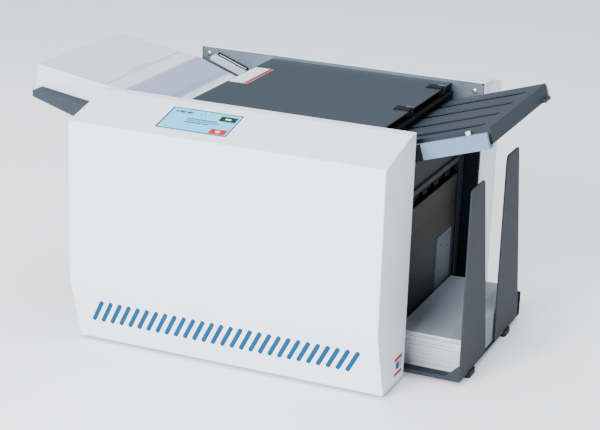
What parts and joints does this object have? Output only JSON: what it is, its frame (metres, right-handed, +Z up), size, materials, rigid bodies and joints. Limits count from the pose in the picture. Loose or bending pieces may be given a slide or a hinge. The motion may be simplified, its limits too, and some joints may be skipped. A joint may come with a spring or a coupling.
{
  "type": "folder sealer",
  "caption": "Desktop folder and pressure sealer: sloped infeed table with forms, lidded roller path, rising fold plate and output tray with two tall stops.",
  "frame": {"origin": "middle of the footprint of the whole machine, tables included, on the surface it stands on", "axes": "+Z up, operator stands at -Y, forms travel towards +X"},
  "size_m": [0.636, 0.444, 0.3317],
  "materials": {
    "cover_paint": "fine textured powder coat",
    "blue_insert": "satin moulded",
    "frame_steel": "zinc plated sheet",
    "grey_paint": "fine textured powder coat",
    "light_metal": "satin paint",
    "dark_panel": "satin paint",
    "brown_panel": "antistatic sheet",
    "black_plastic": "fine moulded grain",
    "white_plastic": "moulded",
    "screen": "lit panel behind a clear film",
    "board": "solder mask",
    "polished_steel": "ground",
    "roller_rubber": "ground rubber",
    "foot_rubber": "moulded",
    "motor_can": "black enamel",
    "gear_plastic": "acetal",
    "belt_rubber": "moulded",
    "paper": "uncoated paper"
  },
  "bodies": {
    "chassis": {"base_plate": "frame_steel", "bay_post": "dark_panel", "body_feet": "foot_rubber", "control_board": "board", "cover_screws": "polished_steel", "drive_belts": "belt_rubber", "drive_motor": "motor_can", "exit_chute": "brown_panel", "exit_lower_panel": "grey_paint", "exit_upper_panel": "dark_panel", "form_stack": "paper", "front_cover": "cover_paint", "front_side_frame": "dark_panel", "guide_rails": "light_metal", "hinge_bracket": "frame_steel", "infeed_panel": "grey_paint", "infeed_table": "grey_paint", "lower_fold_plate": "grey_paint", "plate_slides": "black_plastic", "power_inlet": "black_plastic", "power_supply": "frame_steel", "rear_cover": "cover_paint", "rear_side_frame": "light_metal", "roller_bearings": "black_plastic", "screen_bezel": "black_plastic", "switch_body": "black_plastic", "tie_rods": "polished_steel", "touch_screen": "screen", "transfer_guide": "frame_steel", "vent_backing": "blue_insert"},
    "lid": {"top_cover": "grey_paint", "hinge_tabs": "black_plastic"},
    "guide_front": {"side_guide_front": "grey_paint"},
    "guide_rear": {"side_guide_rear": "grey_paint"},
    "feed_roller": {"feed_shaft": "polished_steel", "feed_tyres": "roller_rubber"},
    "separator": {"separator_arm": "black_plastic", "separator_pad": "roller_rubber"},
    "fold_1": {"fold_roller_1": "roller_rubber", "fold_gear_1": "gear_plastic"},
    "fold_2": {"fold_roller_2": "roller_rubber", "fold_gear_2": "gear_plastic"},
    "fold_3": {"fold_roller_3": "roller_rubber", "fold_gear_3": "gear_plastic"},
    "fold_4": {"fold_roller_4": "roller_rubber", "fold_gear_4": "gear_plastic"},
    "seal_lower": {"seal_roller_lower": "polished_steel"},
    "seal_upper": {"seal_roller_upper": "polished_steel"},
    "exit_lower": {"exit_roller_lower": "roller_rubber"},
    "exit_upper": {"exit_roller_upper": "roller_rubber"},
    "motor_shaft": {"motor_pulley": "polished_steel"},
    "fold_plate": {"upper_fold_plate": "grey_paint", "fold_plate_rails": "light_metal"},
    "stop": {"fold_stop": "black_plastic"},
    "knob": {"stop_knob": "white_plastic"},
    "switch_rocker": {"rocker": "black_plastic"},
    "tray": {"output_tray": "grey_paint", "tray_fingers": "grey_paint", "tray_feet": "foot_rubber", "folded_stack": "paper"}
  },
  "joints": [
    {"name": "lid_hinge", "type": "hinge", "parent": "chassis", "child": "lid", "pos_m": [0.173, 0.013, 0.308], "axis": [0, 1, 0], "range_deg": [0, 95]},
    {"name": "guide_front_slide", "type": "slide", "parent": "chassis", "child": "guide_front", "axis": [0, -1, 0], "range_m": [0, 0.008]},
    {"name": "guide_rear_slide", "type": "slide", "parent": "chassis", "child": "guide_rear", "axis": [0, 1, 0], "range_m": [0, 0.008]},
    {"name": "feed_spin", "type": "hinge", "parent": "chassis", "child": "feed_roller", "pos_m": [-0.036, 0.013, 0.24235], "axis": [0, 1, 0], "continuous": true},
    {"name": "separator_lift", "type": "hinge", "parent": "chassis", "child": "separator", "pos_m": [-0.01, 0.013, 0.282], "axis": [0, 1, 0], "range_deg": [0, 10]},
    {"name": "fold_2_spin", "type": "hinge", "parent": "chassis", "child": "fold_2", "pos_m": [0.1, 0.013, 0.243], "axis": [0, 1, 0], "continuous": true},
    {"name": "fold_1_spin", "type": "hinge", "parent": "chassis", "child": "fold_1", "pos_m": [0.1, 0.013, 0.2771], "axis": [0, 1, 0], "continuous": true},
    {"name": "fold_3_spin", "type": "hinge", "parent": "chassis", "child": "fold_3", "pos_m": [0.1309, 0.013, 0.22859], "axis": [0, 1, 0], "continuous": true},
    {"name": "fold_4_spin", "type": "hinge", "parent": "chassis", "child": "fold_4", "pos_m": [0.12793, 0.013, 0.19462], "axis": [0, 1, 0], "continuous": true},
    {"name": "seal_lower_spin", "type": "hinge", "parent": "chassis", "child": "seal_lower", "pos_m": [0.16376, 0.013, 0.1945], "axis": [0, 1, 0], "continuous": true},
    {"name": "seal_upper_spin", "type": "hinge", "parent": "chassis", "child": "seal_upper", "pos_m": [0.16621, 0.013, 0.22249], "axis": [0, 1, 0], "continuous": true},
    {"name": "exit_lower_spin", "type": "hinge", "parent": "chassis", "child": "exit_lower", "pos_m": [0.18638, 0.013, 0.19954], "axis": [0, 1, 0], "continuous": true},
    {"name": "exit_upper_spin", "type": "hinge", "parent": "chassis", "child": "exit_upper", "pos_m": [0.18761, 0.013, 0.21359], "axis": [0, 1, 0], "continuous": true},
    {"name": "motor_spin", "type": "hinge", "parent": "chassis", "child": "motor_shaft", "pos_m": [0.15, 0.165, 0.08], "axis": [0, 1, 0], "continuous": true},
    {"name": "fold_plate_slide", "type": "slide", "parent": "chassis", "child": "fold_plate", "axis": [0.9537, 0, 0.3007], "range_m": [0, 0.1]},
    {"name": "stop_slide", "type": "slide", "parent": "fold_plate", "child": "stop", "axis": [0.9537, 0, 0.3007], "range_m": [-0.1, 0.005]},
    {"name": "knob_turn", "type": "hinge", "parent": "stop", "child": "knob", "pos_m": [0.28413, -0.1065, 0.31778], "axis": [-0.3007, 0, 0.9537], "range_deg": [0, 180]},
    {"name": "rocker_tilt", "type": "hinge", "parent": "chassis", "child": "switch_rocker", "pos_m": [-0.19, 0.186, 0.092], "axis": [0, 1, 0], "range_deg": [-16, 0]},
    {"name": "tray_slide", "type": "slide", "parent": "chassis", "child": "tray", "axis": [1, 0, 0], "range_m": [0, 0.06]}
  ],
  "couplings": [
    {"joint": "fold_1_spin", "follows": "fold_2_spin", "ratio": -1},
    {"joint": "fold_3_spin", "follows": "fold_2_spin", "ratio": -1},
    {"joint": "fold_4_spin", "follows": "fold_2_spin", "ratio": 1},
    {"joint": "seal_lower_spin", "follows": "fold_2_spin", "ratio": 1.2143},
    {"joint": "seal_upper_spin", "follows": "fold_2_spin", "ratio": -1.2143},
    {"joint": "exit_lower_spin", "follows": "fold_2_spin", "ratio": 2.4286},
    {"joint": "exit_upper_spin", "follows": "fold_2_spin", "ratio": -2.4286},
    {"joint": "motor_spin", "follows": "fold_2_spin", "ratio": 1.5111},
    {"joint": "guide_rear_slide", "follows": "guide_front_slide", "ratio": 1}
  ]
}
